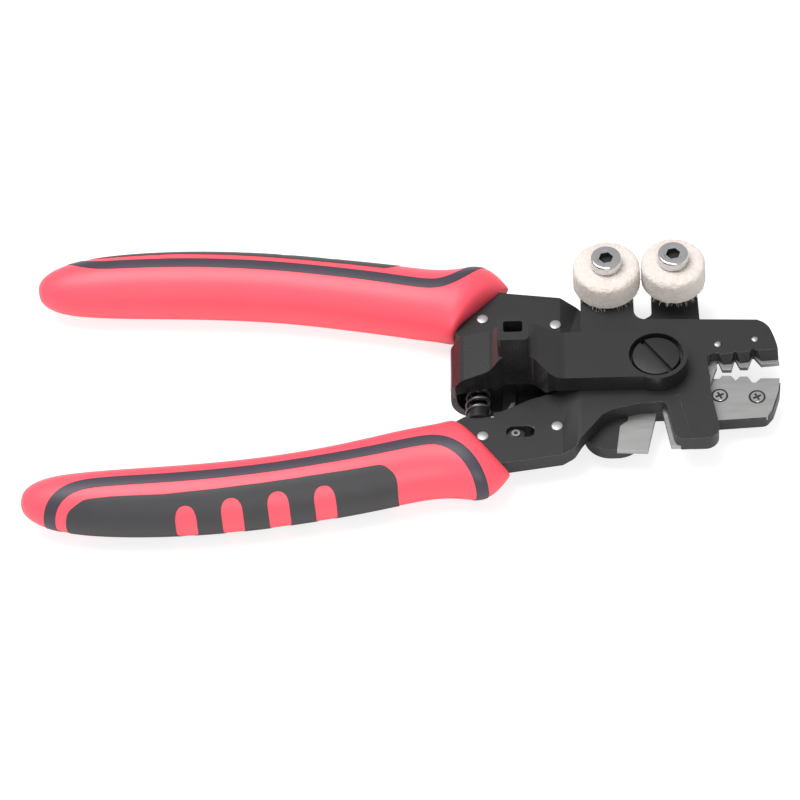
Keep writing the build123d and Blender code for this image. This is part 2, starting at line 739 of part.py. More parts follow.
# Spring cover
cover_outline = plan_face(corner_list(cover_plan_shares, cover_reach, cover_width))
crown = [(x * cover_reach, z * cover_top) for x, z in cover_crown_shares]
bend = [(x * cover_reach, z * cover_top) for x, z in cover_bend_shares]
inside = [(x * cover_reach, z * cover_top) for x, z in cover_inside_shares]
wall_start = crown[-1][1]
with BuildSketch(Plane.XZ) as crown_face:
    with BuildLine():
        Polyline(
            (cover_boss_radius * 2, cover_bottom),
            (cover_boss_radius * 2, cover_top),
            *crown,
            (-cover_reach, cover_skirt),
            (inside[-1][0], cover_skirt),
            (inside[-1][0], cover_wall_top),
            (spring_x + spring_channel + edge_break, cover_wall_top),
            (spring_x + spring_channel + edge_break, cover_skirt),
            (-joggle_end - edge_break * 12, cover_skirt),
            (-joggle_end - edge_break * 6, cover_bottom),
            close=True,
        )
    make_face()
crown_band = extrude(crown_face.sketch, overrun, both=True)
with BuildSketch(Plane.XZ) as clip_face:
    with BuildLine():
        Polyline(
            (-cover_reach, cover_skirt + edge_break),
            *bend,
            (-cover_reach * 0.9, leg_bottom),
            (0, leg_bottom),
            (0, leg_top),
            *inside[:-2],
            (inside[-2][0], cover_skirt + edge_break),
            close=True,
        )
    make_face()

with BuildPart() as spring_cover:
    with BuildSketch(Plane.XY):
        add(cover_outline)
        Circle(cover_boss_radius)
    extrude(amount=overrun)
    add(crown_band, mode=Mode.INTERSECT)
    with BuildSketch(Plane.XY.offset(cover_top - cover_edge)):
        with Locations((post_x, post_y)):
            RectangleRounded(post_length, post_width, post_corner)
    extrude(amount=post_top - cover_top + cover_edge)
    post_rim = spring_cover.faces().sort_by(Axis.Z)[-1].edges()
    fillet(post_rim, radius=post_edge)
    extrude(clip_face.sketch, cover_leg_half_width, both=True)
    with BuildSketch(Plane.XY.offset(leg_bottom)):
        Circle(cover_boss_radius - edge_break)
    extrude(amount=leg_top - leg_bottom)
    with BuildSketch(Plane.XZ):
        with Locations((spring_x, parting_z)):
            Circle(spring_channel)
    extrude(amount=overrun, both=True, mode=Mode.SUBTRACT)
    with BuildSketch(Plane.XY):
        Circle(pivot_shank_radius + running_clearance)
    extrude(amount=overrun, mode=Mode.SUBTRACT)
    with BuildSketch(Plane.XY.offset(head_bottom - running_clearance)):
        Circle(cover_head_room)
    extrude(amount=overrun, mode=Mode.SUBTRACT)
    with BuildSketch(Plane.XY.offset(post_top)):
        with Locations((post_x, post_y)):
            Rectangle(post_hole_length, post_hole_width)
    extrude(amount=-post_hole_depth, mode=Mode.SUBTRACT)
finish(spring_cover, "spring_cover")


# Two-colour grips: a body, a soft pad with bars of the body showing through, and a stripe
def grip_centre(x):
    """The centre line's height and slope at a place along the grip."""
    stations = [(-a * grip_reach, b * grip_spread) for a, b, _, _ in grip_station_shares]
    for (x0, y0), (x1, y1) in zip(stations, stations[1:]):
        if x <= x1:
            slope = (y1 - y0) / (x1 - x0)
            return y0 + slope * (x - x0), slope
    return stations[-1][1], 0.0


def grip_loft(skin):
    """The grip's outside, or a smaller copy that stays a skin's thickness inside."""
    with BuildPart() as shape:
        for x_share, y_share, w_share, h_share in grip_station_shares:
            x = -x_share * grip_reach
            x = x + skin if x_share == grip_station_shares[0][0] else x
            half_width = w_share * grip_half_width - skin
            half_height = h_share * grip_half_height - skin
            if half_width > skin / 2 and half_height > skin / 2:
                y, slope = grip_centre(x)
                turn = atan2(slope, 1)
                station = Plane(
                    origin=(x, y_share * grip_spread, grip_mid_z),
                    x_dir=(-sin(turn), cos(turn), 0),
                    z_dir=(cos(turn), sin(turn), 0),
                )
                with BuildSketch(station):
                    Ellipse(half_width, half_height)
        loft()
    return shape.part


outside = grip_loft(0.0)
inner_core = grip_loft(grip_skin)
mouth = extrude(plan_face(corner_list(grip_mouth_shares, grip_reach, grip_spread)), grip_half_height * 2)
pad_area = extrude(plan_face(corner_list(pad_shares, grip_reach, grip_spread)), grip_half_height * 2)
with BuildSketch() as stripe_line:
    with BuildLine() as stripe_run:
        FilletPolyline(
            *[(x * grip_reach, y * grip_spread) for x, y, _ in stripe_shares],
            radius=[r * grip_reach for _, _, r in stripe_shares[1:-1]],
        )
    trace(stripe_run.line, line_width=stripe_width)
stripe_area = extrude(stripe_line.sketch, grip_half_height * 2)

with BuildPart() as bars:
    for number in range(bar_count):
        bar_x = bar_first + number * bar_pitch
        bar_y, bar_slope = grip_centre(bar_x)
        with BuildSketch(Plane.XY):
            with Locations(Location((bar_x, bar_y), degrees(atan2(bar_slope, 1)))):
                with Locations((0, bar_start_share * grip_half_width + grip_spread / 2)):
                    RectangleRounded(bar_width, grip_spread, bar_corner)
        extrude(amount=grip_half_height * 2)
bar_area = bars.part

with BuildPart() as grip_blank:
    add(outside)
    add(mouth, mode=Mode.INTERSECT)
with BuildPart() as pad_pocket:
    add(pad_area)
    add(bar_area, mode=Mode.SUBTRACT)
    add(inner_core, mode=Mode.SUBTRACT)
with BuildPart() as stripe_groove:
    add(stripe_area)
    add(inner_core, mode=Mode.SUBTRACT)
with BuildPart() as tang_hole:
    with BuildSketch(Plane.XY.offset(shank_bottom - tang_clearance)):
        add(back_outline)
        offset(amount=tang_clearance)
    extrude(amount=shank_thickness + tang_clearance * 2)

with BuildPart() as upper_grip_pad:
    add(grip_blank.part)
    add(pad_pocket.part, mode=Mode.INTERSECT)
finish(upper_grip_pad, "upper_grip_pad")

with BuildPart() as upper_grip_stripe:
    add(grip_blank.part)
    add(stripe_groove.part, mode=Mode.INTERSECT)
finish(upper_grip_stripe, "upper_grip_stripe")

with BuildPart() as upper_grip:
    add(grip_blank.part)
    add(pad_pocket.part, mode=Mode.SUBTRACT)
    add(stripe_groove.part, mode=Mode.SUBTRACT)
    add(tang_hole.part, mode=Mode.SUBTRACT)
finish(upper_grip, "upper_grip")

mirror_plane = Plane.XZ
with BuildPart() as lower_grip:
    mirror(upper_grip.part, about=mirror_plane)
finish(lower_grip, "lower_grip")
with BuildPart() as lower_grip_pad:
    mirror(upper_grip_pad.part, about=mirror_plane)
finish(lower_grip_pad, "lower_grip_pad")
with BuildPart() as lower_grip_stripe:
    mirror(upper_grip_stripe.part, about=mirror_plane)
finish(lower_grip_stripe, "lower_grip_stripe")
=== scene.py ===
import math
import random

import bmesh
import bpy
from mathutils import Matrix, Vector, noise


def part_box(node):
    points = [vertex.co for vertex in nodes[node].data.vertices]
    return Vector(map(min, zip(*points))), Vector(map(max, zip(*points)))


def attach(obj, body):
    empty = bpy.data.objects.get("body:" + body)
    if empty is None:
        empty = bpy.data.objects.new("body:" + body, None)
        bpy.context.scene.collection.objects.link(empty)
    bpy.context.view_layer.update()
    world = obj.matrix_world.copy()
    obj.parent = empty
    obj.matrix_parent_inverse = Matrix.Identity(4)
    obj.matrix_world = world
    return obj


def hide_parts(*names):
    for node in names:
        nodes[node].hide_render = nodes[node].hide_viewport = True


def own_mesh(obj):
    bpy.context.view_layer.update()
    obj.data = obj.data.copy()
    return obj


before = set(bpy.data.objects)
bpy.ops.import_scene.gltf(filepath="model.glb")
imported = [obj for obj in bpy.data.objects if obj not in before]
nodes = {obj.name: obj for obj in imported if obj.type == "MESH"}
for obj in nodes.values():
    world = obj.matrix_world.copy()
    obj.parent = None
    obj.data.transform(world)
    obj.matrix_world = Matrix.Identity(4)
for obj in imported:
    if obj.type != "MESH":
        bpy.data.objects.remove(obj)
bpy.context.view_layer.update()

MM = 0.001
FINE_MERGE = 1e-4
CUT_MERGE = 1e-3
SOLID_MERGE = 2e-3
FLAT_ANGLE = 1.0
EDGE_ANGLE = 25.0
CORNER_STEPS = 8
random.seed(7)

# Sizes of the pieces that are remade here, in millimetres, in the tool's own frame
# A side is 1 for the upper grip and -1 for the lower one
GRIP_REACH = 145.6
GRIP_SPREAD = {1: 32.0, -1: 32.8}
GRIP_HALF_WIDTH = 8.25
GRIP_HALF_HEIGHT = 7.92
GRIP_MIDDLE = 8.0
GRIP_CORNERS = 28
CAGE_LEVELS = 3
TOOL_LOW = -3
TOOL_HIGH = 20
PAD_STAND = 0.12
STRIPE_WIDTH = 2.75
STRIPE_LOW = -2
STRIPE_LEAN = {1: 0.3, -1: -0.4}
BAR_WIDTH = 4.9
BAR_PITCH = 10.4
BAR_FIRST = -107.3
BAR_START = 38.4
BAR_DROP = 1.4
BAR_COUNT = 4
BAR_REACH = 25
BAR_LEAN = 4
BAR_LEAN_STEP = 2.2
BAR_ROUND = 0.92
WHEELS = {"left": (-10.9, 25.3), "right": (4.7, 26.0)}
WHEEL_RADIUS = {"left": 7.95, "right": 7.65}
WHEEL_BOTTOM = 11.6
WHEEL_HEIGHT = 7.05
WHEEL_SKIN = 0.15
WHEEL_BORE = 2.7
WHEEL_FACE = 4.4
WHEEL_TOP_ROUND = 1.35
WHEEL_FOOT_ROUND = 0.6
FELT_LUMPS = ((1.1, 0.16), (3.1, 0.09))
FELT_SINK = 0.03
FIBRES = 170
FIBRES_LOW = 0.7
FIBRE_THICK = (0.045, 0.012)
FIBRE_ROOT = 0.5
FIBRE_SEAT = 0.3
SOCKET_HEAD = (3.6, 2.5)
SOCKET_GAP = 0.25
SOCKET_SHANK = 2.0
SOCKET_HEX = 1.73
SOCKET_HEX_TURN = 12
SOCKET_DEPTH = 1.6
SOCKET_FEET = {"left": 7.52, "right": 4.3}
SPRING_X = -41.2
SPRING_LEVEL = 7.5
SPRING_RADIUS = 2.55
SPRING_WIRE = 0.45
SPRING_HALF = 10.9
SPRING_TURNS = 9
SPRING_STEPS = 36
SEAT_PLACE = 8.0
SEAT = [
    (0, 0), (1.7, 0), (2.5, 0.2), (2.5, 3.0), (2.8, 3.0), (2.8, 3.9), (1.15, 3.9), (1.15, 6.9), (0, 6.9),
]
PIVOT_HEAD = (5.5, 13.4, 15.6)
PIVOT_SHANK = 3.0
PIVOT_SLOT = (18, 1.24, 1.3)
PIVOT_SLOT_TURN = -54.7

# Run of a grip: place along the reach, centre line's share of the spread, width and height shares
GRIP_STATIONS = [
    (0.9985, 0.963, 0.15, 0.15), (0.993, 0.966, 0.38, 0.38), (0.975, 0.975, 0.61, 0.6),
    (0.948, 0.985, 0.77, 0.76), (0.907, 0.997, 0.88, 0.88), (0.85, 1.003, 0.955, 0.955),
    (0.77, 1.0, 1.0, 0.99), (0.687, 0.98, 1.01, 1.0), (0.62, 0.948, 1.01, 1.0), (0.563, 0.911, 1.01, 1.0),
    (0.487, 0.85, 1.03, 1.0),
]
# Mouth of a grip: inner edge, outer edge and half height of rings that turn and then roll down to the tang
MOUTH = [
    ((-61.9, 16.6), (-58.1, 33.6), 7.92), ((-56.3, 15.3), (-51.0, 32.1), 7.92),
    ((-52.8, 14.5), (-45.4, 32.2), 7.9), ((-50.4, 13.8), (-41.0, 33.4), 7.85),
    ((-48.7, 13.1), (-38.2, 32.6), 7.6), ((-47.4, 12.9), (-36.3, 30.9), 6.8),
    ((-46.8, 13.2), (-35.0, 29.4), 5.4), ((-46.6, 13.7), (-34.2, 28.4), 3.7),
    ((-46.7, 14.2), (-33.9, 27.9), 2.45), ((-46.6, 14.7), (-34.2, 27.5), 2.0),
]
# Outlines on the upper side: corners are x, y and rounding
PAD = [
    (-135.1, 47, 0), (-135.1, 40.4, 0.7), (-134.0, 38.3, 2.5), (-130, 36.4, 4), (-124, 36.2, 10),
    (-112, 36.2, 10), (-100, 35.2, 10), (-90, 34.0, 10), (-82, 32.8, 10), (-71, 31.0, 10),
    (-62.5, 29.4, 2.5), (-59.3, 31.6, 2.5), (-59.1, 47, 0),
]
STRIPE = [
    (-139.4, 44), (-138.9, 39.5), (-137.4, 36.6), (-134.4, 34.1), (-130.6, 32.9), (-126.5, 32.65),
    (-119.7, 32.5), (-113, 32.35), (-106, 32.0), (-99.3, 31.45), (-92.5, 30.75), (-85.7, 29.85),
    (-78.9, 28.7), (-72.2, 27.5), (-65.4, 26.2), (-58.6, 24.6), (-53.5, 23.5), (-50.2, 23.3),
    (-47, 24.6), (-44.2, 26.9), (-41.9, 29.8), (-40.1, 33), (-38.9, 37), (-38.3, 42),
]


def linear(r, g, b):
    """A colour as it looks on a screen, turned to the shader's linear values by the usual screen curve."""
    screen = [value / 255 for value in (r, g, b)]
    return tuple(v / 12.92 if v < 0.0404 else ((v + 0.055) / 1.055) ** 2.4 for v in screen) + (1.0,)


# Shared effect: two grains of different size, as a mask and a height
def grain_group():
    group = bpy.data.node_groups.new("moulded_grain", "ShaderNodeTree")
    for label in ("Fine", "Broad"):
        group.interface.new_socket(label, in_out="INPUT", socket_type="NodeSocketFloat")
    group.interface.new_socket("Stretch", in_out="INPUT", socket_type="NodeSocketVector")
    for label in ("Broad Mask", "Fine Mask"):
        group.interface.new_socket(label, in_out="OUTPUT", socket_type="NodeSocketFloat")
    n, link = group.nodes, group.links.new
    inputs, outputs = n.new("NodeGroupInput"), n.new("NodeGroupOutput")
    place = n.new("ShaderNodeTexCoord")
    stretch = n.new("ShaderNodeVectorMath")
    stretch.operation = "MULTIPLY"
    link(place.outputs["Object"], stretch.inputs[0])
    link(inputs.outputs["Stretch"], stretch.inputs[1])
    for label in ("Fine", "Broad"):
        texture = n.new("ShaderNodeTexNoise")
        texture.inputs["Detail"].default_value = 4
        link(inputs.outputs[label], texture.inputs["Scale"])
        link(stretch.outputs[0], texture.inputs["Vector"])
        link(texture.outputs["Fac"], outputs.inputs[label + " Mask"])
    return group


GRAIN = grain_group()


def finish_material(name, dark, light, rough, fine=2500.0, broad=160.0, bump=0.02, depth=0.00003,
                    stretch=(1, 1, 1), metallic=0.0, coat=0.0, sheen=0.0):
    """A finish whose colour varies broadly and whose gloss and relief vary finely."""
    m = bpy.data.materials.new(name)
    m.use_nodes = True
    n, link = m.node_tree.nodes, m.node_tree.links.new
    shader = n["Principled BSDF"]
    grain = n.new("ShaderNodeGroup")
    grain.node_tree = GRAIN
    grain.inputs["Fine"].default_value = fine
    grain.inputs["Broad"].default_value = broad
    grain.inputs["Stretch"].default_value = stretch
    tone = n.new("ShaderNodeMix")
    tone.data_type = "RGBA"
    tone.inputs["A"].default_value = dark
    tone.inputs["B"].default_value = light
    link(grain.outputs["Broad Mask"], tone.inputs["Factor"])
    link(tone.outputs["Result"], shader.inputs["Base Color"])
    gloss = n.new("ShaderNodeMapRange")
    gloss.inputs["To Min"].default_value = rough[0]
    gloss.inputs["To Max"].default_value = rough[1]
    link(grain.outputs["Fine Mask"], gloss.inputs["Value"])
    link(gloss.outputs["Result"], shader.inputs["Roughness"])
    relief = n.new("ShaderNodeBump")
    relief.inputs["Strength"].default_value = bump
    relief.inputs["Distance"].default_value = depth
    link(grain.outputs["Fine Mask"], relief.inputs["Height"])
    link(relief.outputs["Normal"], shader.inputs["Normal"])
    shader.inputs["Metallic"].default_value = metallic
    shader.inputs["Coat Weight"].default_value = coat
    shader.inputs["Coat Roughness"].default_value = 0.25
    shader.inputs["Sheen Weight"].default_value = sheen
    return m


PINK = finish_material(
    "pink_grip_rubber", linear(238, 74, 90), linear(248, 84, 100), (0.4, 0.5), 1800, 60, 0.25
)
PAD_BLACK = finish_material(
    "charcoal_pad_rubber", linear(44, 44, 46), linear(54, 54, 56), (0.5, 0.62), 2600, 90, 0.35
)
STRIPE_BLACK = finish_material(
    "charcoal_stripe_rubber", linear(50, 45, 56), linear(60, 54, 66), (0.42, 0.5), 2600, 90, 0.25
)
LEVER_BLACK = finish_material(
    "black_oxide_plate", linear(36, 36, 37), linear(45, 45, 46), (0.36, 0.5), 1600, 120, 0.3, metallic=0.35
)
COVER_BLACK = finish_material(
    "black_lacquered_casting", linear(22, 22, 23), linear(29, 29, 30), (0.24, 0.34), 1500, 110, 0.25,
    coat=0.3,
)
SCREW_BLACK = finish_material(
    "black_oxide_screw", linear(34, 34, 35), linear(44, 44, 45), (0.34, 0.45), 1800, 200, 0.3, metallic=0.4
)
BLADE = finish_material(
    "ground_blade_steel", linear(150, 150, 150), linear(168, 168, 167), (0.32, 0.48), 900, 260, 0.4,
    stretch=(0.2, 1.6, 1.0), metallic=0.85,
)
PLATED = finish_material(
    "bright_plated_steel", linear(196, 196, 198), linear(222, 222, 224), (0.1, 0.2), 1500, 300, 0.1,
    metallic=1.0,
)
SATIN = finish_material(
    "satin_stud_steel", linear(158, 158, 159), linear(178, 178, 179), (0.36, 0.46), 1500, 300, 0.1,
    metallic=0.75,
)
SPRING_STEEL = finish_material(
    "dark_spring_steel", linear(84, 84, 86), linear(108, 108, 110), (0.25, 0.4), 1500, 300, 0.2,
    metallic=0.9,
)
# Dark steel for faces deep in sockets, cross recesses and the blade's screw holes: painted shade
RECESS_SHADE_PAINT = finish_material(
    "painted_recess_shade", linear(40, 38, 38), linear(66, 63, 62), (0.3, 0.5), 1500, 400, 0.2, metallic=0.6
)
# Lighter grey for the broken outward edges of the black parts: a painted highlight along each edge
EDGE_HIGHLIGHT_PAINT = finish_material(
    "painted_edge_highlight", linear(96, 96, 98), linear(168, 168, 170), (0.16, 0.3), 1500, 900, 0.1,
    metallic=0.7,
)
FELT = finish_material(
    "white_wool_felt", linear(208, 196, 188), linear(232, 223, 216), (0.9, 1.0), 2400, 700, 1.0, 0.0004,
    sheen=0.25,
)


def new_verts(made):
    """The corners that an operator made."""
    return [g for g in made["geom"] if isinstance(g, bmesh.types.BMVert)]


def turn(bm, degrees, axis, centre=(0, 0, 0)):
    """Turns all of a mesh in the making about an axis."""
    matrix = Matrix.Rotation(math.radians(degrees), 3, axis)
    bmesh.ops.rotate(bm, cent=centre, matrix=matrix, verts=bm.verts)


def polar(radius, degrees):
    """A point on a circle, as its two measures from the centre."""
    angle = math.radians(degrees)
    return radius * math.cos(angle), radius * math.sin(angle)


def add_object(name, data):
    """A new object, linked to the scene."""
    made = bpy.data.objects.new(name, data)
    bpy.context.scene.collection.objects.link(made)
    return made


def close_mesh(bm, name):
    """The mesh data of a mesh in the making, which ends with it."""
    mesh = bpy.data.meshes.new(name)
    bm.to_mesh(mesh)
    bm.free()
    return mesh


def open_mesh(mesh, merge=0.0):
    """A mesh in the making from mesh data, with points closer than the merge distance made one."""
    bm = bmesh.new()
    bm.from_mesh(mesh)
    if merge:
        bmesh.ops.remove_doubles(bm, verts=bm.verts, dist=merge)
    return bm


def open_node(node):
    """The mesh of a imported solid, in millimetres."""
    bm = open_mesh(nodes[node].data)
    bmesh.ops.scale(bm, vec=(1 / MM, 1 / MM, 1 / MM), verts=bm.verts)
    return bm


def add_to(bm, other):
    """Moves the faces of one mesh in the making into another."""
    bm.from_mesh(close_mesh(other, "spare"))


def evaluated(piece):
    """The mesh that an object's modifiers make of it, and the end of the object."""
    done = bpy.data.meshes.new_from_object(piece.evaluated_get(bpy.context.evaluated_depsgraph_get()))
    bpy.data.objects.remove(piece)
    return done


def shape_piece(name, mesh, body, slot, material, *replaced, second=None):
    """A mesh in its place becomes a piece that rides on a body and takes the given finish; the slot is not
    used.
    """
    piece = add_object(name, mesh)
    marked = [face.material_index for face in mesh.polygons]
    mesh.materials.clear()
    mesh.materials.append(material)
    if second:
        mesh.materials.append(second)
        mesh.polygons.foreach_set("material_index", marked)
    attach(piece, body)
    if replaced:
        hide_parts(*replaced)
    return piece


def mesh_from(bm, name, crease):
    """The finished mesh in metres, smooth except along its real edges."""
    bmesh.ops.remove_doubles(bm, verts=bm.verts, dist=FINE_MERGE)
    bmesh.ops.recalc_face_normals(bm, faces=bm.faces)
    bmesh.ops.scale(bm, vec=(MM, MM, MM), verts=bm.verts)
    mesh = close_mesh(bm, name)
    mesh.shade_smooth()
    mesh.set_sharp_from_angle(angle=math.radians(crease))
    return mesh


def prism(corners, bottom, top):
    """An upright prism whose corners are rounded, each by its own radius."""
    bm = bmesh.new()
    ring = [bm.verts.new((x, y, bottom)) for x, y, _ in corners]
    bm.faces.new(ring)
    for vert, (_, _, radius) in zip(list(ring), corners):
        if radius:
            before, after = (e.other_vert(vert).co - vert.co for e in vert.link_edges)
            reach = radius * math.tan((math.pi - before.angle(after)) / 2)
            bmesh.ops.bevel(
                bm, geom=[vert], offset=reach, offset_type="OFFSET", affect="VERTICES",
                segments=CORNER_STEPS, profile=0.5, material=-1,
            )
    bmesh.ops.remove_doubles(bm, verts=bm.verts, dist=CUT_MERGE)
    made = bmesh.ops.extrude_face_region(bm, geom=bm.faces[:])
    bmesh.ops.translate(bm, vec=(0, 0, top - bottom), verts=new_verts(made))
    bmesh.ops.recalc_face_normals(bm, faces=bm.faces)
    return bm


def carve(mesh, steps):
    """Applies boolean steps, each an operation and a mesh, and hands back the result."""
    base = add_object("carving", mesh)
    tools = []
    for operation, shape in steps:
        tool = add_object("carving_tool", shape)
        cut = base.modifiers.new("cut", "BOOLEAN")
        cut.operation = operation
        cut.object = tool
        cut.solver = "EXACT"
        tools.append(tool)
    done = evaluated(base)
    for tool in tools:
        bpy.data.objects.remove(tool)
    return done


def smoothed(bm):
    """The mesh of a cage after subdivision, still in millimetres."""
    cage = add_object("cage", close_mesh(bm, "cage"))
    rounding = cage.modifiers.new("rounding", "SUBSURF")
    rounding.levels = CAGE_LEVELS
    rounding.render_levels = CAGE_LEVELS
    return evaluated(cage)


def tool_mesh(bm, side=1):
    """Mesh data for carving, mirrored where it is for the lower grip."""
    if side < 0:
        bmesh.ops.scale(bm, vec=(1, -1, 1), verts=bm.verts)
    bmesh.ops.recalc_face_normals(bm, faces=bm.faces)
    return close_mesh(bm, "tool")


def block(corners, bottom, top):
    """An upright prism as a carving tool."""
    return tool_mesh(prism(corners, bottom, top))


def side_prism(corners, half):
    """A side profile, as place and level, drawn out across the tool."""
    bm = prism(corners, -half, half)
    turn(bm, 90, "X")
    return tool_mesh(bm)


def plate_corners(x, y, long, wide, corner):
    """Corners of an upright block about its centre, with one rounding."""
    return [(x + i * long / 2, y + j * wide / 2, corner) for i, j in ((-1, -1), (1, -1), (1, 1), (-1, 1))]


def spun(profile, x, y, steps):
    """A turned piece from its half outline, as radius and level, about an upright axis."""
    bm = bmesh.new()
    chain = [bm.verts.new((radius, 0, level)) for radius, level in profile]
    edges = [bm.edges.new(pair) for pair in zip(chain, chain[1:])]
    bmesh.ops.spin(
        bm, geom=chain + edges, cent=(0, 0, 0), axis=(0, 0, 1), dvec=(0, 0, 0), angle=math.tau,
        steps=steps, use_merge=True, use_duplicate=False,
    )
    bmesh.ops.remove_doubles(bm, verts=bm.verts, dist=FINE_MERGE)
    bmesh.ops.translate(bm, vec=(x, y, 0), verts=bm.verts)
    return bm


def drum(radius, low, high, x=0, y=0, steps=96):
    """A plain upright cylinder as a carving tool."""
    return tool_mesh(spun([(0, low), (radius, low), (radius, high), (0, high)], x, y, steps))


def round_corner(radius, level, size, first, last, count=5):
    """Points of a rounded corner about its centre, from one angle to another, in degrees."""
    angles = [first + (last - first) * i / count for i in range(count + 1)]
    return [(radius + out, level + up) for out, up in (polar(size, angle) for angle in angles)]


def grip_rings(side, grow):
    """Each ring of a grip as centre, half width across and half height, from the far end to the mouth."""
    line = [(-a * GRIP_REACH, b * GRIP_SPREAD[side], c * GRIP_HALF_WIDTH, d * GRIP_HALF_HEIGHT)
            for a, b, c, d in GRIP_STATIONS]
    rings = []
    for number, (x, y, half_width, half_height) in enumerate(line):
        before, after = line[max(number - 1, 0)], line[min(number + 1, len(line) - 1)]
        across = Vector((before[1] - after[1], after[0] - before[0])).normalized()
        centre = Vector((x - grow * (number == 0), y))
        rings.append((centre, across * (half_width + grow), half_height + grow))
    for inner, outer, half_height in MOUTH:
        across = (Vector(outer) - Vector(inner)) / 2
        ahead = Vector((across.y, -across.x)).normalized() * grow * (1 - half_height / GRIP_HALF_HEIGHT)
        wide = across + across.normalized() * grow
        rings.append(((Vector(outer) + Vector(inner)) / 2 + ahead, wide, half_height + grow))
    return rings


def grip_form(side, grow):
    """The grip's outside: a ring that is drawn out from station to station, then subdivided."""
    bm = bmesh.new()
    bmesh.ops.create_circle(bm, segments=GRIP_CORNERS, radius=1.0, cap_ends=True)
    ring = bm.edges[:]
    placed = Matrix.Identity(4)
    for number, (centre, across, half_height) in enumerate(grip_rings(side, grow)):
        along = Vector((across.y, -across.x, 0)).normalized()
        turned = Matrix((across.to_3d(), Vector((0, 0, half_height)), along)).transposed().to_4x4()
        station = Matrix.Translation((centre.x, centre.y, GRIP_MIDDLE)) @ turned
        if number:
            made = bmesh.ops.extrude_edge_only(bm, edges=ring)
            verts = new_verts(made)
            drawn = [g for g in made["geom"] if isinstance(g, bmesh.types.BMEdge)]
            ring = [edge for edge in drawn if all(v in verts for v in edge.verts)]
        else:
            verts = bm.verts[:]
        bmesh.ops.transform(bm, matrix=station @ placed.inverted(), verts=verts)
        placed = station
    bmesh.ops.holes_fill(bm, edges=ring, sides=0)
    if side < 0:
        bmesh.ops.scale(bm, vec=(1, -1, 1), verts=bm.verts)
    bmesh.ops.recalc_face_normals(bm, faces=bm.faces)
    return smoothed(bm)


def stripe_band(side):
    """An upright band along the stripe's path, as wide as the stripe."""
    bm = bmesh.new()
    chain = [bm.verts.new((x, y + STRIPE_LEAN[side], STRIPE_LOW)) for x, y in STRIPE]
    edges = [bm.edges.new(pair) for pair in zip(chain, chain[1:])]
    made = bmesh.ops.extrude_edge_only(bm, edges=edges)
    bmesh.ops.translate(bm, vec=(0, 0, TOOL_HIGH), verts=new_verts(made))
    bm = open_mesh(smoothed(bm))
    bmesh.ops.recalc_face_normals(bm, faces=bm.faces)
    bm.normal_update()
    for vert in bm.verts:
        vert.co += vert.normal * (STRIPE_WIDTH / 2)
    bmesh.ops.solidify(bm, geom=bm.faces[:], thickness=STRIPE_WIDTH)
    return tool_mesh(bm, side)


def bar_tools(side):
    """The four bars that part the pad, as rounded uprights across the grip."""
    bm = bmesh.new()
    for number in range(BAR_COUNT):
        x = BAR_FIRST + number * BAR_PITCH
        y = BAR_START - number * BAR_DROP
        slope = math.radians(BAR_LEAN + number * BAR_LEAN_STEP)
        w = BAR_WIDTH / 2
        corners = [(-w, 0, w * BAR_ROUND), (w, 0, w * BAR_ROUND), (w, BAR_REACH, 0), (-w, BAR_REACH, 0)]
        bar = prism(corners, TOOL_LOW, TOOL_HIGH)
        place = Matrix.Translation((x, y, 0)) @ Matrix.Rotation(-slope, 4, "Z")
        bmesh.ops.transform(bar, matrix=place, verts=bar.verts)
        add_to(bm, bar)
    return tool_mesh(bm, side)


def finish_mesh(mesh, name, crease):
    """A carved mesh in millimetres, brought to metres."""
    return mesh_from(open_mesh(mesh, CUT_MERGE), name, crease)


def make_grip(side, word, body):
    """One grip: body, soft pad with four bars of the body between, and a stripe."""
    name = f"{word}_grip_moulding"
    mesh = finish_mesh(grip_form(side, 0.0), name, 60)
    shape_piece(name, mesh, body, "grip_rubber", PINK, f"{word}_grip")
    pad = carve(
        grip_form(side, PAD_STAND),
        [
            ("INTERSECT", tool_mesh(prism(PAD, TOOL_LOW, TOOL_HIGH), side)),
            ("DIFFERENCE", bar_tools(side)),
        ],
    )
    name = f"{word}_grip_soft_pad"
    shape_piece(name, finish_mesh(pad, name, 50), body, "pad_rubber", PAD_BLACK, f"{word}_grip_pad")
    stripe = carve(grip_form(side, PAD_STAND), [("INTERSECT", stripe_band(side))])
    name = f"{word}_grip_line"
    mesh = finish_mesh(stripe, name, 50)
    shape_piece(name, mesh, body, "pad_rubber", STRIPE_BLACK, f"{word}_grip_stripe")


make_grip(1, "upper", "back_lever")
make_grip(-1, "lower", "front_lever")


def flat_faced(piece):
    """Shading that keeps broad faces flat and leaves the gradient to the broken edges."""
    shading = piece.modifiers.new("flat_faces", "WEIGHTED_NORMAL")
    shading.mode = "FACE_AREA"
    shading.weight = 90
    shading.keep_sharp = True


def break_edges(bm, width):
    """Every real edge gets a small round, and the outward ones get a second finish whose lighter colour is
    a painted highlight.
    """
    bmesh.ops.dissolve_limit(bm, angle_limit=math.radians(FLAT_ANGLE), verts=bm.verts, edges=bm.edges)
    least = math.radians(EDGE_ANGLE)
    sharp = [e for e in bm.edges if len(e.link_faces) == 2 and e.calc_face_angle(0) > least]
    outward = [e for e in sharp if e.is_convex]
    inward = [e for e in sharp if not e.is_convex]
    for face in bm.faces:
        face.material_index = 0
    for edges, highlighted in ((outward, 1), (inward, 0)):
        made = bmesh.ops.bevel(
            bm, geom=[e for e in edges if e.is_valid], offset=width, offset_type="OFFSET",
            affect="EDGES", segments=3, profile=0.5, material=-1, clamp_overlap=True,
        )
        for face in made["faces"]:
            face.material_index = highlighted


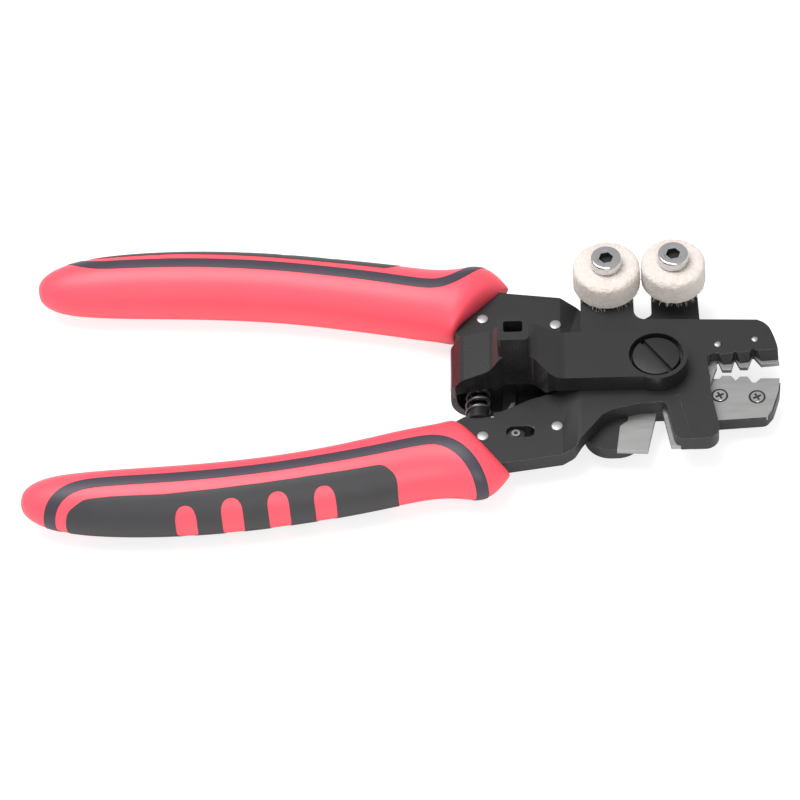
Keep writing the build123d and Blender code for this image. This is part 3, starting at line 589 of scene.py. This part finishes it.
def softened(node, name, body, slot, material, width, repairs=(), second=None):
    """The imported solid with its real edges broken, which then stands for the node."""
    bm = open_node(node)
    bmesh.ops.remove_doubles(bm, verts=bm.verts, dist=SOLID_MERGE)
    if repairs:
        bm = open_mesh(carve(tool_mesh(bm), repairs), SOLID_MERGE)
    break_edges(bm, width)
    mesh = mesh_from(bm, name, 30)
    flat_faced(shape_piece(name, mesh, body, slot, material, node, second=second))


# Levers: the cutter tab is whole over its blade and round at its lower corner, the lock's slot has
# round ends, the upper jaw has a round front, and the back plate stays clear of the cutter
PLATE_ROUND = 0.18
JAW_BLADE_ROUND = 0.05
CUTTER_ROUND = 0.06
TAB_FILL = [(1.4, -8.4, 0), (1.75, -10.2, 0), (4.2, -21.39, 0), (10.4, -21.39, 0), (9.0, -8.1, 0)]
TAB_WALL = [(5.6, -21.38, 0), (11.2, -21.38, 0), (11.2, -20.8, 0), (5.6, -20.8, 0)]
TAB_CORNER = [
    (2, -23, 0), (7, -23, 0), (7, -21.46, 0), (3.8, -21.46, 2.4), (2.96, -16.6, 0), (2, -16.6, 0),
]
FRONT_ROUND = [
    (23.3, 13.6, 0), (24.3, 13.05, 0), (25.12, 12.58, 0), (25.8, 11.85, 0), (26.37, 11.04, 0),
    (26.85, 9.9, 0), (27.23, 8.65, 0), (27.6, 7.3, 0), (27.91, 5.88, 0), (28.15, 4.15, 0),
    (28.3, 3.0, 0), (32, 3, 0), (32, 16, 0), (23.3, 16, 0),
]
SLOT_FILL = [(-34.95, -18.2, 0), (-28.0, -18.2, 0), (-28.0, -14.6, 0), (-34.95, -14.6, 0)]
SLOT = [(-34.75, -18.0, 1.55), (-28.2, -18.0, 1.55), (-28.2, -14.8, 1.55), (-34.75, -14.8, 1.55)]
CUTTER_GAP = [(-0.55, -10.35, 0.3), (8.5, -10.35, 0), (8.5, -14.5, 0), (-1.75, -14.5, 0)]
# The upper jaw blade's arm ends above the cutter, and the cutter's screw sits in a closed hole
ARM_TRIM = [
    (14.3, 2.6, 0), (12.3, -3.2, 0), (11.0, -3.2, 0), (11.0, -8, 0), (14.6, -8, 0), (14.6, 2.6, 0),
]
BLADE_PLUG = (2.1, 6.4, 7.46)
CUTTER_SCREW = (-3.29, -9.64)
softened(
    "front_plate", "front_lever_plate", "front_lever", "black_metal", LEVER_BLACK, PLATE_ROUND,
    [
        ("UNION", block(TAB_FILL, 8.78, 11.49)), ("DIFFERENCE", block(TAB_CORNER, 5, 14)),
        ("UNION", block(TAB_WALL, 7.53, 8.8)), ("DIFFERENCE", block(FRONT_ROUND, 5, 14)),
        ("UNION", block(SLOT_FILL, 5.51, 9.49)), ("DIFFERENCE", block(SLOT, 4, 11)),
    ],
    EDGE_HIGHLIGHT_PAINT,
)
softened(
    "back_plate", "back_lever_plate", "back_lever", "black_metal", LEVER_BLACK, PLATE_ROUND,
    [("DIFFERENCE", block(CUTTER_GAP, 3, 9))], EDGE_HIGHLIGHT_PAINT,
)
softened(
    "upper_jaw_blade", "upper_jaw_knife", "front_lever", "blade_steel", BLADE, JAW_BLADE_ROUND,
    [("DIFFERENCE", block(ARM_TRIM, 5, 10))],
)
softened("lower_jaw_blade", "lower_jaw_knife", "back_lever", "blade_steel", BLADE, JAW_BLADE_ROUND)
softened("anvil_blade", "anvil_knife", "front_lever", "blade_steel", BLADE, CUTTER_ROUND)
softened(
    "cutter_blade", "cutter_knife", "back_lever", "blade_steel", BLADE, CUTTER_ROUND,
    [("UNION", drum(*BLADE_PLUG, *CUTTER_SCREW, steps=48))],
)

# Spring cover: a crowned casting with a post, bent round the spring and under both levers
COVER_BOSS = 7.3
COVER_FRONT = -6.51
COVER_BACK = 7.21
COVER_PLAN = [
    (-24.2, COVER_FRONT, 3.3), (-28.7, -2.5, 2.4), (-34.8, -2.5, 1.9), (-38.9, -5.0, 1.9),
    (-46.2, COVER_FRONT, 0.5), (-47.38, -6.0, 0.5), (-47.38, 6.0, 0.5), (-45.3, COVER_BACK, 0.5),
]
COVER_CROWN = [
    (15, 11.65, 0), (15, 16.1, 0), (-22.0, 16.1, 4.7), (-27.7, 19.5, 2.8), (-35.9, 19.5, 1.9),
    (-37.7, 17.5, 2.2), (-44.8, 15.8, 2.4), (-47.38, 12.9, 1.9), (-47.38, 9.7, 0), (-46, 9.7, 0),
    (-46, 11.2, 0.3), (-37.3, 11.2, 0.3), (-37.3, 9.7, 0), (-25.6, 9.7, 0), (-23.8, 11.65, 0),
]
COVER_CLIP = [
    (-47.39, 10.4, 0), (-47.39, 2.35, 5.6), (0, 2.35, 0), (0, 4.15, 0), (-45.99, 4.15, 4.2),
    (-45.99, 10.4, 0),
]
COVER_CLIP_HALF = 6.0
COVER_FOOT = (7.0, 2.35, 4.15)
COVER_BORE = (3.05, -1, 30)
COVER_RECESS = (6.25, 13.35, 30)
# Post and its hole: x, y, length, width and rounding, then lowest and highest level
COVER_POST = (-32.56, 1.25, 7.3, 7.4, 1.2), 15.6, 25.5
COVER_HOLE = (-32.56, 1.55, 4.4, 3.2, 0.6), 20.5, 27.5
COVER_ROUND = 0.32
COVER_ARC_STEPS = 40


def upright(corners, low, high):
    """A block from its centre, size and rounding, between two levels."""
    return block(plate_corners(*corners), low, high)


def cover_casting():
    """The casting in millimetres, with a round end that follows the pivot."""
    first, last = (math.atan2(y, -math.sqrt(COVER_BOSS ** 2 - y ** 2)) for y in (COVER_BACK, COVER_FRONT))
    angles = [first + (last - first) * i / COVER_ARC_STEPS for i in range(COVER_ARC_STEPS + 1)]
    round_end = [(COVER_BOSS * math.cos(angle), COVER_BOSS * math.sin(angle), 0) for angle in angles]
    return carve(
        block(COVER_PLAN + round_end, 5, 30),
        [
            ("INTERSECT", side_prism(COVER_CROWN, 20)),
            ("UNION", upright(*COVER_POST)),
            ("UNION", side_prism(COVER_CLIP, COVER_CLIP_HALF)),
            ("UNION", drum(*COVER_FOOT)),
            ("DIFFERENCE", drum(*COVER_BORE, steps=48)),
            ("DIFFERENCE", drum(*COVER_RECESS)),
            ("DIFFERENCE", upright(*COVER_HOLE)),
        ],
    )


def spring_cover():
    bm = open_mesh(cover_casting(), SOLID_MERGE)
    break_edges(bm, COVER_ROUND)
    name = "spring_clip_casting"
    mesh = mesh_from(bm, name, 30)
    flat_faced(
        shape_piece(name, mesh, "spring_clip", "black_metal", COVER_BLACK, "spring_cover", second=EDGE_HIGHLIGHT_PAINT)
    )


spring_cover()


def add_fibres(bm, x, y, radius):
    """Loose fibres: slim closed cones that stand out of the felt, longest at its lower edge."""
    for _ in range(FIBRES):
        around = random.uniform(0, math.tau)
        low = random.random() < FIBRES_LOW
        rise = random.uniform(0.3, 1.1) if low else random.uniform(1.2, WHEEL_HEIGHT - 0.8)
        length = random.uniform(0.6, 1.5) if low else random.uniform(0.3, 0.7)
        out = Vector((math.cos(around), math.sin(around), 0))
        stray = Vector((random.uniform(-0.5, 0.5), random.uniform(-0.5, 0.5), random.uniform(-0.7, 0.1)))
        lean = (out + stray).normalized()
        centre = Vector((x, y, WHEEL_BOTTOM + rise)) + out * (radius - FIBRE_SEAT) + lean * length / 2
        turned = lean.to_track_quat("Z", "Y").to_matrix().to_4x4()
        bmesh.ops.create_cone(
            bm, cap_ends=True, segments=3, radius1=FIBRE_THICK[0], radius2=FIBRE_THICK[1],
            depth=length + FIBRE_ROOT, matrix=Matrix.Translation(centre) @ turned,
        )


def felt_profile(outer):
    """Half outline of a felt wheel, from its bore round to its bore again."""
    low, high = WHEEL_BOTTOM + 0.1, WHEEL_BOTTOM + WHEEL_HEIGHT - 0.1
    bottom = round_corner(outer - WHEEL_FOOT_ROUND, low + WHEEL_FOOT_ROUND, WHEEL_FOOT_ROUND, -90, 0)
    top = round_corner(outer - WHEEL_TOP_ROUND, high - WHEEL_TOP_ROUND, WHEEL_TOP_ROUND, 0, 90)
    return [
        (WHEEL_BORE, low + 0.2), (WHEEL_BORE + 0.5, low), (WHEEL_FACE, low),
        *bottom, (outer, WHEEL_BOTTOM + WHEEL_HEIGHT / 2), *top,
        (WHEEL_FACE, high), (WHEEL_BORE + 0.5, high - 0.02), (WHEEL_BORE, high - 0.25),
        (WHEEL_BORE, low + 0.2),
    ]


# Felt wheels: each is cut into the half towards the other wheel, which gets a mesh of its own, and the far
# half
def felt_wheel(word, body, other):
    x, y = WHEELS[word]
    outer = WHEEL_RADIUS[word] - WHEEL_SKIN
    bm = spun(felt_profile(outer), x, y, 72)
    bmesh.ops.subdivide_edges(bm, edges=bm.edges[:], cuts=1, use_grid_fill=True)
    bmesh.ops.recalc_face_normals(bm, faces=bm.faces)
    for vert in bm.verts:
        if math.hypot(vert.co.x - x, vert.co.y - y) > WHEEL_BORE + 0.2:
            push = sum(noise.noise(vert.co * scale) * height for scale, height in FELT_LUMPS)
            vert.co += vert.normal * (push - FELT_SINK)
    add_fibres(bm, x, y, outer)
    other_x, other_y = WHEELS[other]
    towards = Vector((other_x - x, other_y - y, 0)).normalized()
    whole = close_mesh(bm, "felt")
    for part_word, sign in (("near", 1), ("far", -1)):
        half = open_mesh(whole)
        cut = bmesh.ops.bisect_plane(
            half, geom=half.verts[:] + half.edges[:] + half.faces[:], plane_co=(x, y, 0),
            plane_no=towards * sign, clear_inner=True,
        )
        rim = [g for g in cut["geom_cut"] if isinstance(g, bmesh.types.BMEdge)]
        bmesh.ops.holes_fill(half, edges=rim, sides=0)
        name = f"{word}_felt_{part_word}_half"
        piece = shape_piece(name, mesh_from(half, name, 60), body, "felt", FELT, f"{word}_felt_wheel")
        if part_word == "near":
            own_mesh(piece)


felt_wheel("left", "left_wheel", "right")
felt_wheel("right", "right_wheel", "left")


def socket_screw(word, body):
    """Bright socket screw with a rounded head and a six-sided socket."""
    x, y = WHEELS[word]
    foot = SOCKET_FEET[word]
    radius, tall = SOCKET_HEAD
    low = WHEEL_BOTTOM + WHEEL_HEIGHT + SOCKET_GAP
    high = low + tall
    profile = [
        (0, foot), (SOCKET_SHANK, foot), (SOCKET_SHANK, low), (radius - 0.15, low), (radius, low + 0.15),
        *round_corner(radius - 0.45, high - 0.45, 0.45, 0, 90),
        (2.2, high), (1.95, high - 0.2), (0, high - 0.2),
    ]
    corners = [polar(SOCKET_HEX, 60 * i + SOCKET_HEX_TURN) for i in range(6)]
    hexagon = [(x + out, y + up, 0) for out, up in corners]
    solid = tool_mesh(spun(profile, x, y, 64))
    carved = carve(solid, [("DIFFERENCE", block(hexagon, high - SOCKET_DEPTH, high + 1))])
    name = f"{word}_socket_screw"
    mesh = finish_mesh(carved, name, 30)
    # Faces deep in the socket take the second finish, a painted shade
    centre, level = Vector((x, y)) * MM, (high - 0.25) * MM
    for face in mesh.polygons:
        near = (face.center.xy - centre).length < 1.85 * MM
        face.material_index = int(near and level - 2 * MM < face.center.z < level)
    shape_piece(name, mesh, body, "plated_steel", PLATED, f"{word}_wheel_screw", second=RECESS_SHADE_PAINT)


socket_screw("left", "front_lever")
socket_screw("right", "back_lever")


def pivot_screw():
    """Wide low head with one slot, in the recess of the cover."""
    radius, low, high = PIVOT_HEAD
    profile = [
        (0, 0), (PIVOT_SHANK, 0), (PIVOT_SHANK, low), (radius, low),
        *round_corner(radius - 0.3, high - 0.3, 0.3, 0, 90, 3), (0, high),
    ]
    long, wide, deep = PIVOT_SLOT
    slot = prism(plate_corners(0, 0, long, wide, 0), high - deep, high + 1)
    turn(slot, PIVOT_SLOT_TURN, "Z")
    carved = carve(tool_mesh(spun(profile, 0, 0, 96)), [("DIFFERENCE", tool_mesh(slot))])
    name = "slotted_pivot_screw"
    shape_piece(
        name, finish_mesh(carved, name, 30), "back_lever", "black_screw", SCREW_BLACK, "pivot_screw"
    )


pivot_screw()


def return_spring():
    """Coil of round wire with closed ends, with a mesh of its own."""
    bm = bmesh.new()
    length = 2 * SPRING_HALF - 2 * SPRING_WIRE
    bmesh.ops.create_circle(bm, segments=12, radius=SPRING_WIRE, cap_ends=False)
    bmesh.ops.translate(bm, vec=(SPRING_RADIUS, 0, 0), verts=bm.verts)
    turn(bm, 90, "X", (SPRING_RADIUS, 0, 0))
    steps = SPRING_TURNS * SPRING_STEPS
    bmesh.ops.spin(
        bm, geom=bm.verts[:] + bm.edges[:], cent=(0, 0, 0), axis=(0, 0, 1), dvec=(0, 0, length / steps),
        angle=math.tau * SPRING_TURNS, steps=steps, use_merge=False, use_duplicate=False,
    )
    bmesh.ops.holes_fill(bm, edges=[e for e in bm.edges if e.is_boundary], sides=0)
    bmesh.ops.translate(bm, vec=(0, 0, -length / 2), verts=bm.verts)
    turn(bm, 90, "X")
    bmesh.ops.translate(bm, vec=(SPRING_X, 0, SPRING_LEVEL), verts=bm.verts)
    name = "handle_spring_coil"
    mesh = mesh_from(bm, name, 60)
    piece = shape_piece(name, mesh, "spring_clip", "plated_steel", SPRING_STEEL, "return_spring")
    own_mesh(piece)


return_spring()


def spring_seat(word, side, body):
    """Seat with a thin flange and a peg inside the coil's end."""
    bm = spun(SEAT, 0, 0, 48)
    turn(bm, -90 * side, "X")
    bmesh.ops.translate(bm, vec=(SPRING_X, side * SEAT_PLACE, SPRING_LEVEL), verts=bm.verts)
    name = f"{word}_coil_seat"
    shape_piece(name, mesh_from(bm, name, 40), body, "black_screw", SCREW_BLACK, f"{word}_spring_seat")


spring_seat("upper", 1, "back_lever")
spring_seat("lower", -1, "front_lever")


# Bright ends of rivets and screws: piece, body, node, places, radius, bottom, top and rise of the dome
UPPER_RIVETS = [(-40.1, 17.5), (-23.1, 15.14)]
LOWER_RIVETS = [(x, -y) for x, y in UPPER_RIVETS]
UPPER_JAW_SCREWS = [(14.3, 6.45), (22.9, 7.7)]
STUDS = [
    ("upper_shank_studs", "back_lever", "upper_shank_rivets", UPPER_RIVETS, 1.32, 5.35, 9.9, 0.16),
    ("lower_shank_studs", "front_lever", "lower_shank_rivets", LOWER_RIVETS, 1.32, 5.35, 9.9, 0.16),
    ("jaw_screw_ends", "front_lever", "upper_jaw_screws", UPPER_JAW_SCREWS, 0.85, 7.56, 11.5, 0.2),
    ("cutter_blade_stud", "back_lever", "cutter_blade_screw", [CUTTER_SCREW], 1.0, 4.75, 7.4, 0.1),
]


def stud_ends(name, body, node, places, radius, low, high, dome):
    """Round ends, each a little domed and with a broken rim."""
    bm = bmesh.new()
    for x, y in places:
        profile = [(0, low), (radius - 0.08, low), (radius, low + 0.08)]
        profile += round_corner(radius - 0.12, high - dome - 0.12, 0.12, 0, 70, 3)
        profile += [(radius * i / 8, high - dome * (i / 8) ** 2) for i in range(7, -1, -1)]
        add_to(bm, spun(profile, x, y, 40))
    shape_piece(name, mesh_from(bm, name, 50), body, "plated_steel", SATIN, node)


for stud in STUDS:
    stud_ends(*stud)

# Cross screws of the lower jaw: a ring of painted shade in the blade's hole, a head and the cross in it,
# whose recess is in painted shade
LOWER_JAW_SCREWS = [(14.37, -5.75), (22.92, -6.47)]
HOLE_SHADE_RING = [(0, 6.5), (1.9, 6.5), (1.95, 7.47), (1.95, 7.5), (1.62, 7.5), (1.62, 7.2), (0, 7.2)]
CROSS_HEAD = [(0, 6.9), (1.58, 6.9), (1.58, 7.42), (1.5, 7.52), (0, 7.52)]
CROSS_BAR = (2.1, 0.5)
CROSS_LEVELS = (7.05, 8.5)
CROSS_TURNS = (25, 115)
CROSS_SHADE_BELOW = 7.4


def cross_screws():
    """Two countersunk screws with a cross recess, as one piece."""
    bm = bmesh.new()
    for x, y in LOWER_JAW_SCREWS:
        cross = []
        for angle in CROSS_TURNS:
            bar = prism(plate_corners(0, 0, *CROSS_BAR, 0), *CROSS_LEVELS)
            turn(bar, angle, "Z")
            bmesh.ops.translate(bar, vec=(x, y, 0), verts=bar.verts)
            cross.append(("DIFFERENCE", tool_mesh(bar)))
        ring = tool_mesh(spun(HOLE_SHADE_RING, x, y, 48))
        head = carve(tool_mesh(spun(CROSS_HEAD, x, y, 48)), cross)
        # The ring, and the faces deep in the cross, take the second finish, a painted shade
        for part, dark in ((ring, True), (head, False)):
            for face in part.polygons:
                face.material_index = int(dark or face.center.z < CROSS_SHADE_BELOW)
            bm.from_mesh(part)
    name = "lower_jaw_cross_screws"
    mesh = mesh_from(bm, name, 30)
    shape_piece(name, mesh, "back_lever", "blade_steel", PLATED, "lower_jaw_screws", second=RECESS_SHADE_PAINT)


cross_screws()

# Lock: a sliding block with round ends that fits the slot, and a blackened hook with a bright steel
# patch on its slanted face
LOCK_BLOCK = [
    (-34.62, -17.85, 1.42), (-30.42, -17.85, 1.42), (-30.42, -14.95, 1.42), (-34.62, -14.95, 1.42),
]
LOCK_ROUND = 0.15
HOOK_PATCH = (-35.05, -7.5, -4.4)
HOOK_PATCH_WIDE = 0.95
HOOK_PATCH_LEAN = 0.46


def lock_block():
    low, high = (round(v.z / MM, 2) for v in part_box("lock_slider_block"))
    bm = open_mesh(block(LOCK_BLOCK, low, high))
    break_edges(bm, LOCK_ROUND)
    name = "round_lock_block"
    mesh = mesh_from(bm, name, 30)
    shape_piece(name, mesh, "lock_slider", "black_screw", SCREW_BLACK, "lock_slider_block")


def patched_hook():
    """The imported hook, cut along the patch's four sides."""
    bm = open_node("lock_hook")
    left, low, high = HOOK_PATCH
    leaning = (1, -HOOK_PATCH_LEAN, 0)
    cuts = [
        ((left, low, 0), leaning), ((left + HOOK_PATCH_WIDE, low, 0), leaning),
        ((0, low, 0), (0, 1, 0)), ((0, high, 0), (0, 1, 0)),
    ]
    for place, normal in cuts:
        bmesh.ops.bisect_plane(
            bm, geom=bm.verts[:] + bm.edges[:] + bm.faces[:], plane_co=place,
            plane_no=Vector(normal).normalized(),
        )
    for face in bm.faces:
        centre = face.calc_center_median()
        inward = centre.x - left - HOOK_PATCH_LEAN * (centre.y - low)
        face.material_index = int(low < centre.y < high and 0 < inward < HOOK_PATCH_WIDE)
    name = "patched_lock_hook"
    mesh = mesh_from(bm, name, 30)
    shape_piece(name, mesh, "lock_slider", "black_screw", SCREW_BLACK, "lock_hook", second=SATIN)


lock_block()
patched_hook()

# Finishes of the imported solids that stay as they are
PAINTS = {
    PLATED: ["left_wheel_bush", "right_wheel_bush", "lock_pin", "anvil_blade_screw"],
    BLADE: ["lock_catch_pin"],
    SCREW_BLACK: ["pivot_nut", "right_wheel_post"],
}
for paint, painted in PAINTS.items():
    for node in painted:
        nodes[node].data.materials.clear()
        nodes[node].data.materials.append(paint)


# Camera at the photograph's angle: elevation, azimuth and roll in degrees, then millimetres
CAMERA_ANGLES = (50.63, 4.53, -5.11)
CAMERA_DISTANCE = 983.0
CAMERA_TARGET = Vector((-59.27, -4.48, 7.5))
PHOTO_SCALE = 4.33
PHOTO_PIXELS = 800
SENSOR = 36


def make_camera():
    elevation, azimuth, roll = (math.radians(v) for v in CAMERA_ANGLES)
    flat = math.cos(elevation)
    back = Vector((math.sin(azimuth) * flat, -math.cos(azimuth) * flat, math.sin(elevation)))
    level = Vector((math.cos(azimuth), math.sin(azimuth), 0))
    rise = back.cross(level)
    right = math.cos(roll) * level + math.sin(roll) * rise
    up = -math.sin(roll) * level + math.cos(roll) * rise
    camera = add_object("camera", bpy.data.cameras.new("camera"))
    camera.data.sensor_width = SENSOR
    camera.data.lens = PHOTO_SCALE * CAMERA_DISTANCE / PHOTO_PIXELS * SENSOR
    camera.data.clip_start = 0.01
    camera.data.clip_end = 20
    turned = Matrix((right, up, back)).transposed().to_4x4()
    camera.matrix_world = Matrix.Translation((CAMERA_TARGET + back * CAMERA_DISTANCE) * MM) @ turned
    bpy.context.scene.camera = camera


make_camera()


# Floor, light and background: grey tones, strengths, and lamps with place, aim, size and power
FLOOR_TONES = (0.9, 0.4)
FLOOR_GLOW = 0.72
SKY_STRENGTH = (0.55, 1.0)
LAMPS = [
    ("key_lamp", (-0.25, 0.1, 0.75), (-0.05, 0, 0), 0.5, 6.0),
    ("front_lamp", (0.1, -0.8, 0.55), (-0.05, 0, 0), 0.5, 3.5),
]


def floor_material():
    """A pale matt floor that glows for the camera alone, so that only soft shadows show."""
    m = bpy.data.materials.new("pale_floor")
    m.use_nodes = True
    n, link = m.node_tree.nodes, m.node_tree.links.new
    shader = n["Principled BSDF"]
    shader.inputs["Roughness"].default_value = 0.9
    rays = n.new("ShaderNodeLightPath")
    tone = n.new("ShaderNodeMix")
    tone.data_type = "RGBA"
    for socket, grey in zip("AB", FLOOR_TONES):
        tone.inputs[socket].default_value = (grey, grey, grey, 1)
    link(rays.outputs["Is Camera Ray"], tone.inputs["Factor"])
    link(tone.outputs["Result"], shader.inputs["Base Color"])
    strength = n.new("ShaderNodeMath")
    strength.operation = "MULTIPLY"
    strength.inputs[1].default_value = FLOOR_GLOW
    link(rays.outputs["Is Camera Ray"], strength.inputs[0])
    link(strength.outputs[0], shader.inputs["Emission Strength"])
    shader.inputs["Emission Color"].default_value = (1, 1, 1, 1)
    return m


def make_studio():
    bm = bmesh.new()
    bmesh.ops.create_grid(bm, x_segments=1, y_segments=1, size=3.0)
    mesh = close_mesh(bm, "floor")
    mesh.materials.append(floor_material())
    floor = add_object("floor", mesh)
    world = bpy.data.worlds.new("studio")
    bpy.context.scene.world = world
    world.use_nodes = True
    n, link = world.node_tree.nodes, world.node_tree.links.new
    sky = n["Background"]
    sky.inputs["Color"].default_value = (1, 1, 1, 1)
    rays = n.new("ShaderNodeLightPath")
    level = n.new("ShaderNodeMapRange")
    level.inputs["To Min"].default_value = SKY_STRENGTH[0]
    level.inputs["To Max"].default_value = SKY_STRENGTH[1]
    link(rays.outputs["Is Camera Ray"], level.inputs["Value"])
    link(level.outputs["Result"], sky.inputs["Strength"])
    for name, place, aim, size, power in LAMPS:
        lamp = add_object(name, bpy.data.lights.new(name, "AREA"))
        lamp.data.size = size
        lamp.data.energy = power
        lamp.location = place
        lamp.rotation_euler = (Vector(aim) - Vector(place)).to_track_quat("-Z", "Y").to_euler()


make_studio()
bpy.context.scene.view_settings.view_transform = "Standard"
